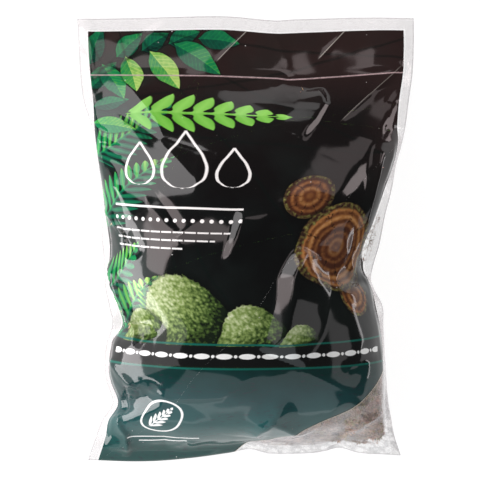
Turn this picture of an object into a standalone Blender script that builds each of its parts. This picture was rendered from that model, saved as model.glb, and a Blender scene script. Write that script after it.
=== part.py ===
"""A heat-sealed pouch of clear film, printed on its front and filled fat with dried moss.

It lies on its back: the printed front faces +Z, the flat header points to +Y, and the width runs
along X. The origin is under the middle of the pouch, on the surface that it lies on. Two sheets of
film are welded together along all four edges and bulge apart over the clump of moss between them.
Sizes are in metres.
"""
import math

import bmesh
import bpy
from mathutils import Vector

MM = 0.001

# Film
FILM = 0.3 * MM
WELD_GAP = 0.3 * MM
MOSS_GAP = 1.1 * MM
MARGIN = 9.0 * MM

# Heights along the pouch, from its middle
TOP_EDGE = 163.6 * MM
HEADER_TOP = 154.0 * MM
WELD_LINE = 121.0 * MM
FILL_BOTTOM = -155.5 * MM
BOTTOM_EDGE = -163.6 * MM

# Grid of each sheet: one column and one row are the welded margin on each edge
COLUMNS = 24
HEADER_ROWS = 3
FILL_ROWS = 26
ROWS = FILL_ROWS + HEADER_ROWS + 2
WELD_COLUMN = 1.0 - 2.0 / COLUMNS
CROWDING = 0.35

# Grid lines between which the clump lies, and how far its rim stands in from the welds, in cells
MOSS_ROWS = 24
MOSS_RIM = 0.5
MOSS_FOOT = 0.93

# The outline in millimetres: height, left edge, left weld, right weld, right edge
OUTLINE = (
    (163.6, -125.0, -116.2, 116.2, 125.0),
    (142.9, -123.9, -115.8, 116.4, 124.9),
    (120.8, -122.4, -113.9, 115.6, 123.8),
    (101.6, -119.8, -111.8, 112.8, 121.0),
    (83.2, -113.9, -111.6, 111.7, 118.8),
    (71.4, -111.7, -110.9, 112.2, 116.4),
    (54.4, -108.8, -108.4, 108.6, 111.2),
    (36.0, -105.8, -105.2, 101.8, 108.2),
    (17.6, -105.5, -102.8, 95.6, 103.6),
    (-4.6, -105.5, -99.9, 88.0, 99.4),
    (-21.5, -104.7, -100.6, 86.6, 94.2),
    (-30.4, -104.2, -99.2, 90.6, 92.9),
    (-37.0, -103.6, -97.8, 93.4, 95.4),
    (-49.6, -101.0, -93.3, 95.8, 101.6),
    (-62.8, -98.8, -90.0, 98.6, 102.1),
    (-76.8, -102.9, -97.8, 100.6, 102.7),
    (-90.1, -104.4, -100.2, 101.8, 103.2),
    (-104.1, -103.2, -98.8, 102.4, 103.8),
    (-121.1, -98.6, -93.9, 102.6, 105.2),
    (-133.6, -105.8, -99.9, 103.0, 107.3),
    (-148.4, -111.2, -102.8, 104.0, 109.9),
    (-163.6, -115.8, -107.6, 106.4, 114.5),
)

# The fill in millimetres: height, how high the side welds lie, rise of the front above them,
# depth of the back below them
FILL = (
    (163.6, 3.5, 0.0, 0.0),
    (142.0, 6.5, 0.0, 0.0),
    (121.0, 12.0, 0.0, 0.0),
    (102.0, 18.5, 12.5, 10.5),
    (83.0, 25.5, 23.0, 20.0),
    (54.0, 34.0, 35.5, 31.5),
    (18.0, 40.0, 45.5, 41.5),
    (-22.0, 43.0, 51.0, 45.5),
    (-63.0, 43.0, 52.5, 45.5),
    (-104.0, 40.0, 47.5, 42.0),
    (-134.0, 32.0, 33.5, 33.0),
    (-147.0, 26.0, 19.5, 23.0),
    (-155.5, 21.0, 0.0, 0.0),
    (-163.6, 17.0, 0.0, 0.0),
)

# How far the bottom edge stands above its corners in millimetres, by place across from -1 to 1
BOTTOM_LIFT = (
    (-1.0, 0.0),
    (-0.68, -0.6),
    (-0.35, 1.9),
    (-0.1, 6.4),
    (0.03, 9.0),
    (0.17, 5.0),
    (0.45, 5.6),
    (0.6, 9.4),
    (0.72, 5.6),
    (1.0, 3.4),
)
LIFT_REACH = 48.0 * MM
SAG = 7.0 * MM

# Folds of the film: start, end, half width and rise of the front in millimetres
FOLDS = (
    ("right_tuck_ridge", (101.0, 62.0), (82.0, -22.0), 10.0, 4.5),
    ("right_pleat", (76.0, -30.0), (98.0, -32.0), 10.0, -7.0),
    ("upper_left_valley", (-101.0, 30.0), (-82.0, -6.0), 11.0, -4.0),
    ("waist_left_ridge", (-98.0, -24.0), (-84.0, -72.0), 10.0, 4.0),
    ("waist_left_valley", (-98.0, -62.0), (-70.0, -60.0), 11.0, -6.0),
    ("lower_left_valley", (-98.0, -121.0), (-72.0, -114.0), 13.0, -7.0),
    ("lower_right_valley", (100.0, -84.0), (76.0, -94.0), 12.0, -3.0),
    ("bottom_bump", (14.0, -136.0), (24.0, -128.0), 16.0, 5.0),
    ("bottom_right_valley", (66.0, -150.0), (74.0, -130.0), 12.0, -5.0),
)
FOLD_FADE = 12.0 * MM

# How the section of the fill bends: 1 is a straight wedge, 0.5 a half ellipse
ROUNDEST = 0.75
FRONT_BEND = 0.5
FLAT_BEND = 0.35
FULL_RISE = 40.0 * MM
BACK_BEND = 0.55

# Materials: colour, roughness and opacity
PRINTED_FILM = ((0.02, 0.05, 0.045), 0.18, 1.0)
CLEAR_FILM = ((0.86, 0.87, 0.86), 0.12, 0.25)
DRIED_MOSS = ((0.42, 0.33, 0.24), 0.95, 1.0)


def smooth_between(stations, at, column=1):
    """The value of a column at a place between stations, on one smooth curve through them all."""
    rising = stations if stations[0][0] < stations[-1][0] else stations[::-1]
    places = [row[0] for row in rising]
    values = [row[column] for row in rising]
    at = min(max(at, places[0]), places[-1])
    span = max(i for i in range(len(places) - 1) if places[i] <= at)
    width = places[span + 1] - places[span]
    slopes = []
    for i in (span, span + 1):
        before, after = max(i - 1, 0), min(i + 1, len(places) - 1)
        slopes.append((values[after] - values[before]) / (places[after] - places[before]))
    t = (at - places[span]) / width
    start = (1 + 2 * t) * (1 - t) ** 2 * values[span] + t * (1 - t) ** 2 * width * slopes[0]
    end = t * t * (3 - 2 * t) * values[span + 1] - t * t * (1 - t) * width * slopes[1]
    return start + end


def height_of_row(row):
    """Height along the pouch of a grid line, counted from the bottom edge."""
    if row <= 1:
        return BOTTOM_EDGE + (FILL_BOTTOM - BOTTOM_EDGE) * row
    if row <= 1 + FILL_ROWS:
        up = (row - 1) / FILL_ROWS
        crowded = up * (1 - CROWDING * (1 - up))
        return FILL_BOTTOM + (WELD_LINE - FILL_BOTTOM) * crowded
    if row <= 1 + FILL_ROWS + HEADER_ROWS:
        return WELD_LINE + (HEADER_TOP - WELD_LINE) * (row - 1 - FILL_ROWS) / HEADER_ROWS
    return HEADER_TOP + (TOP_EDGE - HEADER_TOP) * (row - ROWS + 1)


def front_rise(height):
    """How far the front stands above the side welds along the middle of the pouch."""
    return max(0.0, smooth_between(FILL, height / MM, 2)) * MM


def welded_point(u, height):
    """A point of the sheet that the welds lie in, with the place across the fill, -1 to 1."""
    left_edge, left_weld, right_weld, right_edge = (
        smooth_between(OUTLINE, height / MM, column) * MM for column in (1, 2, 3, 4)
    )
    weld_z = smooth_between(FILL, height / MM, 1) * MM
    middle = (left_weld + right_weld) / 2
    half = (right_weld - left_weld) / 2
    across = max(-1.0, min(1.0, u / WELD_COLUMN))
    roundness = min(ROUNDEST, front_rise(height) / half)
    bulged = (1 - roundness) * across + roundness * math.sin(across * math.pi / 2)
    x = middle + half * bulged
    drop = 0.0
    if abs(u) > WELD_COLUMN:
        out = (abs(u) - WELD_COLUMN) / (1 - WELD_COLUMN)
        edge, weld = (right_edge, right_weld) if u > 0 else (left_edge, left_weld)
        shown = abs(edge - weld)
        x = weld + (edge - weld) * out
        drop = math.sqrt(max(0.0, MARGIN ** 2 - shown ** 2)) * out
    up = min(1.0, max(0.0, (height - BOTTOM_EDGE) / LIFT_REACH))
    lift = smooth_between(BOTTOM_LIFT, u) * MM * (1 - up) ** 2
    drape = math.sin(math.pi * min(1.0, max(0.0, (WELD_LINE - height) / (WELD_LINE - FILL_BOTTOM))))
    y = height + lift - SAG * drape * (1 - across * across)
    return Vector((x, y, weld_z - drop)), bulged


def fold_rise(x, y):
    """How far the folds lift the front film at a place."""
    total = 0.0
    for _, start, end, width, rise in FOLDS:
        a, b = Vector(start) * MM, Vector(end) * MM
        along = (Vector((x, y)) - a).dot(b - a) / (b - a).length_squared
        nearest = a + (b - a) * min(1.0, max(0.0, along))
        distance = (Vector((x, y)) - nearest).length / (width * MM)
        if distance < 1:
            total += rise * MM * (1 - distance * distance) ** 2
    return total


def sheet_point(u, height, front):
    """A point of the front or the back sheet, before both are moved apart by the weld gap."""
    point, bulged = welded_point(u, height)
    bow = max(0.0, 1 - bulged * bulged)
    if front:
        rise = front_rise(height)
        swell = rise * bow ** (FRONT_BEND + FLAT_BEND * (1 - min(1.0, rise / FULL_RISE)))
        folds = fold_rise(point.x, point.y) * min(1.0, swell / FOLD_FADE)
        return point + Vector((0, 0, swell + folds))
    depth = max(0.0, smooth_between(FILL, height / MM, 3)) * MM * bow ** BACK_BEND
    return Vector((point.x, point.y, max(WELD_GAP / 2 + FILM, point.z - depth)))


def grid_point(column, row, front):
    """A point of a sheet by its grid lines, flat between them as the sheet's own faces are."""
    left, low = min(int(column), COLUMNS - 1), min(int(row), ROWS - 1)
    aside, up = column - left, row - low
    corners = [
        sheet_point(2 * (left + i) / COLUMNS - 1, height_of_row(low + j), front)
        for i, j in ((0, 0), (1, 0), (0, 1), (1, 1))
    ]
    lower = corners[0].lerp(corners[1], aside)
    return lower.lerp(corners[2].lerp(corners[3], aside), up)


def moss_point(column, row, front):
    """A point on the clump, a little inside a sheet."""
    here = grid_point(column, row, front)
    across = grid_point(column + 0.5, row, front) - grid_point(column - 0.5, row, front)
    along = grid_point(column, row + 0.5, front) - grid_point(column, row - 0.5, front)
    inward = across.cross(along).normalized() * MOSS_GAP
    return here - inward if front else here + inward


def make_material(name, color, roughness, opacity):
    material = bpy.data.materials.new(name)
    material.use_nodes = True
    shader = material.node_tree.nodes["Principled BSDF"]
    shader.inputs["Base Color"].default_value = (*color, 1.0)
    shader.inputs["Roughness"].default_value = roughness
    shader.inputs["Metallic"].default_value = 0.0
    shader.inputs["Alpha"].default_value = opacity
    return material


def add_piece(name, mesh, collection, material):
    piece = bpy.data.objects.new(name, mesh)
    collection.objects.link(piece)
    mesh.materials.append(material)
    mesh.shade_smooth()
    split = piece.modifiers.new("even_split", "TRIANGULATE")
    split.quad_method = "FIXED"
    return piece


def make_sheet(name, front, collection, material):
    """One sheet of film: a grid laid over the fill, thickened away from the other sheet."""
    sheet = bmesh.new()
    bmesh.ops.create_grid(sheet, x_segments=COLUMNS, y_segments=ROWS, size=1.0)
    for vertex in sheet.verts:
        vertex.co = sheet_point(vertex.co.x, height_of_row((vertex.co.y + 1) / 2 * ROWS), front)
    mesh = bpy.data.meshes.new(name)
    sheet.to_mesh(mesh)
    sheet.free()
    piece = add_piece(name, mesh, collection, material)
    solid = piece.modifiers.new("film_thickness", "SOLIDIFY")
    solid.thickness = FILM
    solid.use_even_offset = True
    outward = 1 + WELD_GAP / FILM
    solid.offset = outward if front else -outward
    return piece


def make_moss(name, collection, material):
    """The clump of moss: a grid thickened into a closed lens that fills the room between the sheets."""
    clump = bmesh.new()
    bmesh.ops.create_grid(clump, x_segments=COLUMNS - 2, y_segments=MOSS_ROWS, size=1.0)
    raised = bmesh.ops.extrude_face_region(clump, geom=clump.faces[:])
    top = {item for item in raised["geom"] if isinstance(item, bmesh.types.BMVert)}
    for vertex in clump.verts:
        column = 1 + (vertex.co.x + 1) / 2 * (COLUMNS - 2)
        row = 1 + (vertex.co.y + 1) / 2 * MOSS_ROWS
        column = min(max(column, 1 + MOSS_RIM), COLUMNS - 1 - MOSS_RIM)
        if row < 1 + MOSS_RIM:
            row = 1 + MOSS_RIM
            column = COLUMNS / 2 + (column - COLUMNS / 2) * MOSS_FOOT
        vertex.co = moss_point(column, row, vertex in top)
    bmesh.ops.recalc_face_normals(clump, faces=clump.faces[:])
    mesh = bpy.data.meshes.new(name)
    clump.to_mesh(mesh)
    clump.free()
    return add_piece(name, mesh, collection, material)


def main():
    for item in list(bpy.data.objects):
        bpy.data.objects.remove(item, do_unlink=True)
    pouch = bpy.data.collections.new("bag_of_dried_moss")
    bpy.context.scene.collection.children.link(pouch)
    make_sheet("front_film", True, pouch, make_material("printed_film", *PRINTED_FILM))
    make_sheet("back_film", False, pouch, make_material("clear_film", *CLEAR_FILM))
    make_moss("moss_fill", pouch, make_material("dried_moss", *DRIED_MOSS))


main()
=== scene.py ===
"""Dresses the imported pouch: its two sheets of film, the print on the front, and the moss inside.

The film starts from the same outline and fill as the solids. A short cloth simulation lets it take
up its own slack from its flat size, and creases and lumps of the fill are laid over that. The moss
is a lumpy clump with leafy strands pressed against the film.
"""
import math

import bpy
import numpy as np
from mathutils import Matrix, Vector


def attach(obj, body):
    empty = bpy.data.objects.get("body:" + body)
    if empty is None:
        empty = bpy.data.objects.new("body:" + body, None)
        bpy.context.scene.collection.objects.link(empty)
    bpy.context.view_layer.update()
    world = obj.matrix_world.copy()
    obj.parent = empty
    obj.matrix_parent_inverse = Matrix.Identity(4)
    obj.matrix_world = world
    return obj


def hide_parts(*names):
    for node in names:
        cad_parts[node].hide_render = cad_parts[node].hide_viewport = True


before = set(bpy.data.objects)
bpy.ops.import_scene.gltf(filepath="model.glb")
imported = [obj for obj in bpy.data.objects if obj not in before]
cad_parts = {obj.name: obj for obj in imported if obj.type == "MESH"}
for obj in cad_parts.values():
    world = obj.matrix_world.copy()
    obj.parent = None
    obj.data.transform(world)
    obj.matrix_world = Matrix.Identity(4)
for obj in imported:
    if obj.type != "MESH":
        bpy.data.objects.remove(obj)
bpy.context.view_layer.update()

bl_info = {
    "name": "Bag of dried moss",
    "version": (1, 0, 0),
    "blender": (4, 5, 0),
    "location": "3D View > Sidebar > Moss bag",
    "description": "A heat-sealed printed pouch of dried moss and a plain studio for it",
    "category": "Object",
}

BODY = "root"
MM = 0.001

# Heights along the pouch, from its middle
TOP_EDGE = 163.6 * MM
WELD_LINE = 121.0 * MM
FILL_BOTTOM = -155.5 * MM
BOTTOM_EDGE = -163.6 * MM
MARGIN = 9.0 * MM
WELD_AT = 22.0 / 24.0

# The outline in millimetres: height, left edge, left weld, right weld, right edge
OUTLINE = (
    (163.6, -125.0, -116.2, 116.2, 125.0),
    (142.9, -123.9, -115.8, 116.4, 124.9),
    (120.8, -122.4, -113.9, 115.6, 123.8),
    (101.6, -119.8, -111.8, 112.8, 121.0),
    (83.2, -113.9, -111.6, 111.7, 118.8),
    (71.4, -111.7, -110.9, 112.2, 116.4),
    (54.4, -108.8, -108.4, 108.6, 111.2),
    (36.0, -105.8, -105.2, 101.8, 108.2),
    (17.6, -105.5, -102.8, 95.6, 103.6),
    (-4.6, -105.5, -99.9, 88.0, 99.4),
    (-21.5, -104.7, -100.6, 86.6, 94.2),
    (-30.4, -104.2, -99.2, 90.6, 92.9),
    (-37.0, -103.6, -97.8, 93.4, 95.4),
    (-49.6, -101.0, -93.3, 95.8, 101.6),
    (-62.8, -98.8, -90.0, 98.6, 102.1),
    (-76.8, -102.9, -97.8, 100.6, 102.7),
    (-90.1, -104.4, -100.2, 101.8, 103.2),
    (-104.1, -103.2, -98.8, 102.4, 103.8),
    (-121.1, -98.6, -93.9, 102.6, 105.2),
    (-133.6, -105.8, -99.9, 103.0, 107.3),
    (-148.4, -111.2, -102.8, 104.0, 109.9),
    (-163.6, -115.8, -107.6, 106.4, 114.5),
)

# The fill in millimetres: height, how high the side welds lie, rise of the front above them,
# depth of the back below them
FILL = (
    (163.6, 3.5, 0.0, 0.0),
    (142.0, 6.5, 0.0, 0.0),
    (121.0, 12.0, 0.0, 0.0),
    (102.0, 18.5, 9.0, 10.5),
    (83.0, 25.5, 18.5, 20.0),
    (54.0, 34.0, 33.0, 31.5),
    (18.0, 40.0, 45.5, 41.5),
    (-22.0, 43.0, 51.0, 45.5),
    (-63.0, 43.0, 52.5, 45.5),
    (-104.0, 40.0, 47.5, 42.0),
    (-134.0, 32.0, 31.5, 33.0),
    (-147.0, 26.0, 15.5, 23.0),
    (-155.5, 21.0, 4.0, 0.0),
    (-163.6, 17.0, 0.0, 0.0),
)

# How far the bottom edge stands above its corners in millimetres, by place across from -1 to 1
BOTTOM_LIFT = (
    (-1.0, 0.0),
    (-0.68, -0.6),
    (-0.35, 1.9),
    (-0.1, 6.4),
    (0.03, 9.0),
    (0.17, 5.0),
    (0.45, 5.6),
    (0.6, 9.4),
    (0.72, 5.6),
    (1.0, 3.4),
)
LIFT_REACH = 48.0 * MM
SAG = 7.0 * MM

# Folds of the film: start, end, half width and rise of the front in millimetres
FOLDS = (
    ((101.0, 62.0), (82.0, -22.0), 9.0, 4.0),
    ((76.0, -30.0), (98.0, -32.0), 10.0, -7.0),
    ((-101.0, 30.0), (-82.0, -6.0), 10.0, -4.0),
    ((-98.0, -24.0), (-84.0, -72.0), 9.0, 4.0),
    ((-98.0, -62.0), (-70.0, -60.0), 11.0, -6.0),
    ((-98.0, -121.0), (-72.0, -114.0), 13.0, -7.0),
    ((100.0, -84.0), (76.0, -94.0), 12.0, -3.0),
    ((14.0, -136.0), (24.0, -128.0), 16.0, 5.0),
    ((66.0, -150.0), (74.0, -130.0), 12.0, -5.0),
)

# Waves of the header in millimetres: place across, shift of the weld line and of the top edge
HEADER_WAVE = (
    (-125.0, 0.2, -0.2),
    (-70.0, -0.2, 0.6),
    (-15.0, -0.8, 1.6),
    (22.0, -2.4, -1.6),
    (34.0, -3.4, -0.9),
    (60.0, -1.7, 0.0),
    (92.0, 0.6, 0.5),
    (125.0, 2.4, 0.2),
)
WAVE_FADE = 60.0 * MM

# Creases of the front film, in millimetres on the flat sheet from its middle line and its bottom
# edge: the points of each one, its height, and its width on its left and on its right
CREASES = (
    (((6.3, 384.0), (-22.0, 355.0)), 0.35, 0.9, 0.9),
    (((79.0, 384.0), (54.0, 358.5)), 0.35, 0.9, 0.9),
    (((33.0, 348.0), (24.0, 372.0), (16.0, 384.0)), 0.6, 3.0, 6.0),
    (((33.0, 348.0), (20.0, 334.0)), -0.5, 3.0, 3.0),
    (((118.0, 351.0), (69.5, 300.0)), 1.1, 2.0, 9.0),
    (((113.0, 276.0), (111.0, 256.0), (111.0, 238.0), (112.0, 212.0), (111.0, 180.0)), 1.8, 1.4, 7.0),
    (((111.0, 180.0), (104.0, 168.0), (92.0, 160.0)), -1.2, 4.0, 4.0),
    (((-117.0, 216.0), (-104.5, 206.0), (-90.0, 196.0)), 2.4, 6.0, 2.0),
    (((-115.0, 177.0), (-108.0, 162.0), (-105.0, 145.0), (-99.0, 129.0), (-88.5, 117.0)), 3.6, 7.0, 1.6),
    (((-104.0, 137.0), (-112.0, 126.0), (-118.0, 114.0)), 1.6, 5.0, 2.0),
    (((-114.0, 104.0), (-100.0, 95.0), (-83.0, 84.0)), 2.6, 2.5, 9.0),
    (((-83.0, 83.0), (-98.0, 83.0), (-105.0, 72.0), (-103.0, 60.0)), -2.4, 2.0, 4.0),
    (((-108.0, 60.0), (-97.0, 36.0), (-94.0, 4.0)), 2.8, 1.6, 9.0),
    (((-86.0, 92.0), (-58.0, 76.0), (-20.0, 80.0), (6.0, 98.0)), 0.8, 8.0, 2.0),
    (((-114.0, 322.0), (-62.0, 284.0), (-20.0, 268.0)), -1.3, 7.0, 10.0),
    (((-110.0, 268.0), (-66.0, 238.0), (-40.0, 204.0)), -1.1, 6.0, 9.0),
    (((3.0, 28.0), (10.0, 45.0), (17.0, 55.0), (27.0, 49.0), (44.0, 34.0)), 3.9, 8.0, 9.0),
    (((34.0, 100.0), (60.0, 89.5), (88.0, 77.0)), 0.8, 8.0, 3.0),
    (((62.0, 2.0), (76.0, 12.0), (80.0, 34.0), (92.0, 52.0), (110.0, 60.0)), 2.4, 3.0, 4.0),
    (((86.0, 14.0), (104.0, 2.0)), 1.6, 2.0, 3.0),
    (((-90.0, 335.0), (-65.0, 300.0), (-57.0, 276.0), (-27.0, 236.0)), 0.8, 9.0, 6.0),
    (((-78.0, 257.0), (-68.0, 222.0), (-30.0, 185.0)), 0.7, 9.0, 6.0),
    (((-60.0, 384.0), (-96.0, 352.0)), 0.4, 4.0, 4.0),
    (((92.0, 384.0), (118.0, 362.0)), 0.5, 6.0, 4.0),
)

# Straight-sided ridges of the front film, given in the same way
RIDGES = (
    (((54.0, 334.0), (57.0, 317.0), (49.0, 300.0), (36.0, 282.0)), 2.4, 5.0, 18.0),
    (((2.0, 221.0), (-1.0, 202.0), (-6.0, 179.0)), 2.2, 18.0, 6.0),
    (((50.0, 190.0), (15.0, 114.0)), 7.2, 28.0, 11.0),
)


class PouchSizes(bpy.types.PropertyGroup):
    """Sizes of the film."""

    flat_width: bpy.props.FloatProperty(
        name="Flat width", description="Width of each sheet laid flat",
        default=0.25, min=0.1, unit="LENGTH")
    film: bpy.props.FloatProperty(
        name="Film", description="Thickness of each sheet",
        default=0.00012, min=0.00005, precision=5, unit="LENGTH")
    weld_gap: bpy.props.FloatProperty(
        name="Weld gap", description="Clear room left between the sheets where they are welded",
        default=0.0002, min=0.00005, precision=5, unit="LENGTH")
    slack_reach: bpy.props.FloatProperty(
        name="Slack reach", description="Furthest that the simulation may move the film",
        default=0.009, min=0.0, unit="LENGTH")
    lump: bpy.props.FloatProperty(
        name="Lumps", description="How far lumps of the fill press the film out",
        default=0.0013, min=0.0, unit="LENGTH")
    facet: bpy.props.FloatProperty(
        name="Facets", description="Height of the flat facets that the film breaks into",
        default=0.0011, min=0.0, precision=5, unit="LENGTH")
    crinkle: bpy.props.FloatProperty(
        name="Crinkle", description="Height of the small waves",
        default=0.00002, min=0.0, precision=5, unit="LENGTH")


class PouchMoss(bpy.types.PropertyGroup):
    """Size and number of the moss strands."""

    strands: bpy.props.IntProperty(
        name="Strands", description="Strands on each face of the clump", default=1320, min=10)
    strand_width: bpy.props.FloatProperty(
        name="Stem width", description="Width of a stem", default=0.0008, min=0.0001,
        precision=4, unit="LENGTH")
    leaf: bpy.props.FloatProperty(
        name="Leaf length", description="Length of a small leaf on a strand", default=0.005,
        min=0.001, unit="LENGTH")
    straw: bpy.props.FloatVectorProperty(
        name="Straw", description="Palest strands", subtype="COLOR", size=3,
        default=(0.74, 0.52, 0.38), min=0, max=1)
    rose: bpy.props.FloatVectorProperty(
        name="Rose", description="Pinkish strands", subtype="COLOR", size=3,
        default=(0.5, 0.25, 0.2), min=0, max=1)
    olive: bpy.props.FloatVectorProperty(
        name="Olive", description="Greenish strands", subtype="COLOR", size=3,
        default=(0.42, 0.37, 0.16), min=0, max=1)
    twig: bpy.props.FloatVectorProperty(
        name="Twig", description="Dark strands", subtype="COLOR", size=3,
        default=(0.12, 0.06, 0.04), min=0, max=1)


class PouchStage(bpy.types.PropertyGroup):
    """The studio."""

    lens_distance: bpy.props.FloatProperty(
        name="Camera height", description="Height of the camera above the surface",
        default=3.0, min=0.5, unit="LENGTH")
    pixel: bpy.props.FloatProperty(
        name="Pixel", description="Real width that one of the picture's 480 pixels covers",
        default=0.7375 * MM, precision=6, unit="LENGTH")
    floor: bpy.props.FloatVectorProperty(
        name="Floor", description="Colour of the floor", subtype="COLOR", size=3,
        default=(0.16, 0.16, 0.16), min=0, max=1)


def between(stations, at, column=1):
    """Values of a column at places between stations, on one smooth curve through them all."""
    rising = stations if stations[0][0] < stations[-1][0] else stations[::-1]
    places = np.array([row[0] for row in rising], float)
    values = np.array([row[column] for row in rising], float)
    at = np.clip(at, places[0], places[-1])
    slopes = np.empty_like(values)
    slopes[1:-1] = (values[2:] - values[:-2]) / (places[2:] - places[:-2])
    slopes[0] = (values[1] - values[0]) / (places[1] - places[0])
    slopes[-1] = (values[-1] - values[-2]) / (places[-1] - places[-2])
    span = np.clip(np.searchsorted(places, at, side="right") - 1, 0, len(places) - 2)
    width = places[span + 1] - places[span]
    t = (at - places[span]) / width
    start = (1 + 2 * t) * (1 - t) ** 2 * values[span] + t * (1 - t) ** 2 * width * slopes[span]
    end = t * t * (3 - 2 * t) * values[span + 1] - t * t * (1 - t) * width * slopes[span + 1]
    return start + end


def front_rise(height):
    return np.maximum(0.0, between(FILL, height / MM, 2)) * MM


def welded_points(u, height):
    """Points of the sheet that the welds lie in, and how far across the fill each one is."""
    left_edge, left_weld, right_weld, right_edge = (
        between(OUTLINE, height / MM, column) * MM for column in (1, 2, 3, 4)
    )
    middle, half = (left_weld + right_weld) / 2, (right_weld - left_weld) / 2
    across = np.clip(u / WELD_AT, -1, 1)
    roundness = np.minimum(0.75, front_rise(height) / half)
    bulged = (1 - roundness) * across + roundness * np.sin(across * math.pi / 2)
    out = np.clip((np.abs(u) - WELD_AT) / (1 - WELD_AT), 0, 1)
    edge, weld = np.where(u > 0, right_edge, left_edge), np.where(u > 0, right_weld, left_weld)
    x = np.where(out > 0, weld + (edge - weld) * out, middle + half * bulged)
    drop = np.sqrt(np.maximum(0.0, MARGIN ** 2 - (edge - weld) ** 2)) * out
    up = np.clip((height - BOTTOM_EDGE) / LIFT_REACH, 0, 1)
    lift = between(BOTTOM_LIFT, u) * MM * (1 - up) ** 2
    drape = np.sin(math.pi * np.clip((WELD_LINE - height) / (WELD_LINE - FILL_BOTTOM), 0, 1))
    y = height + lift - SAG * drape * (1 - across * across)
    z = between(FILL, height / MM, 1) * MM - drop
    return np.stack([x, y, z], -1), bulged


def near_line(x, y, start, end):
    """Distance of places from a straight line, left of it positive, and the place along it."""
    (ax, ay), (bx, by) = start, end
    length = math.hypot(bx - ax, by - ay)
    along = ((x - ax) * (bx - ax) + (y - ay) * (by - ay)) / length ** 2
    held = np.clip(along, 0, 1)
    side = np.where((bx - ax) * (y - ay) - (by - ay) * (x - ax) > 0, 1.0, -1.0)
    return side * np.hypot(x - ax - held * (bx - ax), y - ay - held * (by - ay)), along


def sheet_points(u, height, front):
    """Points of the front or the back sheet over the fill."""
    points, bulged = welded_points(u, height)
    bow = np.maximum(0.0, 1 - bulged * bulged)
    if front:
        rise = front_rise(height)
        swell = rise * bow ** (0.5 + 0.35 * (1 - np.minimum(1.0, rise / (40 * MM))))
        folds = np.zeros_like(swell)
        for start, end, width, lift in FOLDS:
            distance = abs(near_line(points[..., 0] / MM, points[..., 1] / MM, start, end)[0]) / width
            folds += lift * MM * np.clip(1 - distance, 0, 1) ** 1.4
        points[..., 2] += swell + folds * np.minimum(1.0, swell / (12 * MM))
    else:
        depth = np.maximum(0.0, between(FILL, height / MM, 3)) * MM * bow ** 0.55
        points[..., 2] = np.maximum(0.4 * MM, points[..., 2] - depth)
    return points


class FlatSheet:
    """The grid of a sheet laid flat: its columns, rows and the heights that they come to."""

    def __init__(self, flat_width, cell=2.95 * MM):
        middle = np.linspace(BOTTOM_EDGE, TOP_EDGE, 500)
        line = sheet_points(np.zeros(500), middle, True)
        steps = np.linalg.norm(np.diff(line, axis=0), axis=1)
        run = np.concatenate([[0], np.cumsum(steps)])
        self.width, self.length = flat_width, run[-1]
        side = round(MARGIN / cell)
        inner = round((flat_width - 2 * MARGIN) / cell)
        weld = flat_width / 2 - MARGIN
        self.x = np.concatenate([
            np.linspace(-flat_width / 2, -weld, side, endpoint=False),
            np.linspace(-weld, weld, inner, endpoint=False),
            np.linspace(weld, flat_width / 2, side + 1),
        ])
        rows = round(self.length / cell)
        self.y = np.linspace(0, self.length, rows + 1)
        self.height = np.interp(self.y, run, middle)
        out = (np.abs(self.x) - weld) / MARGIN
        self.u = np.where(out > 0, np.sign(self.x) * (WELD_AT + out * (1 - WELD_AT)),
                          self.x / weld * WELD_AT)
        self.weld_line_y = float(np.interp(WELD_LINE, middle, run))
        self.fill_bottom_y = float(np.interp(FILL_BOTTOM, middle, run))


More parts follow.
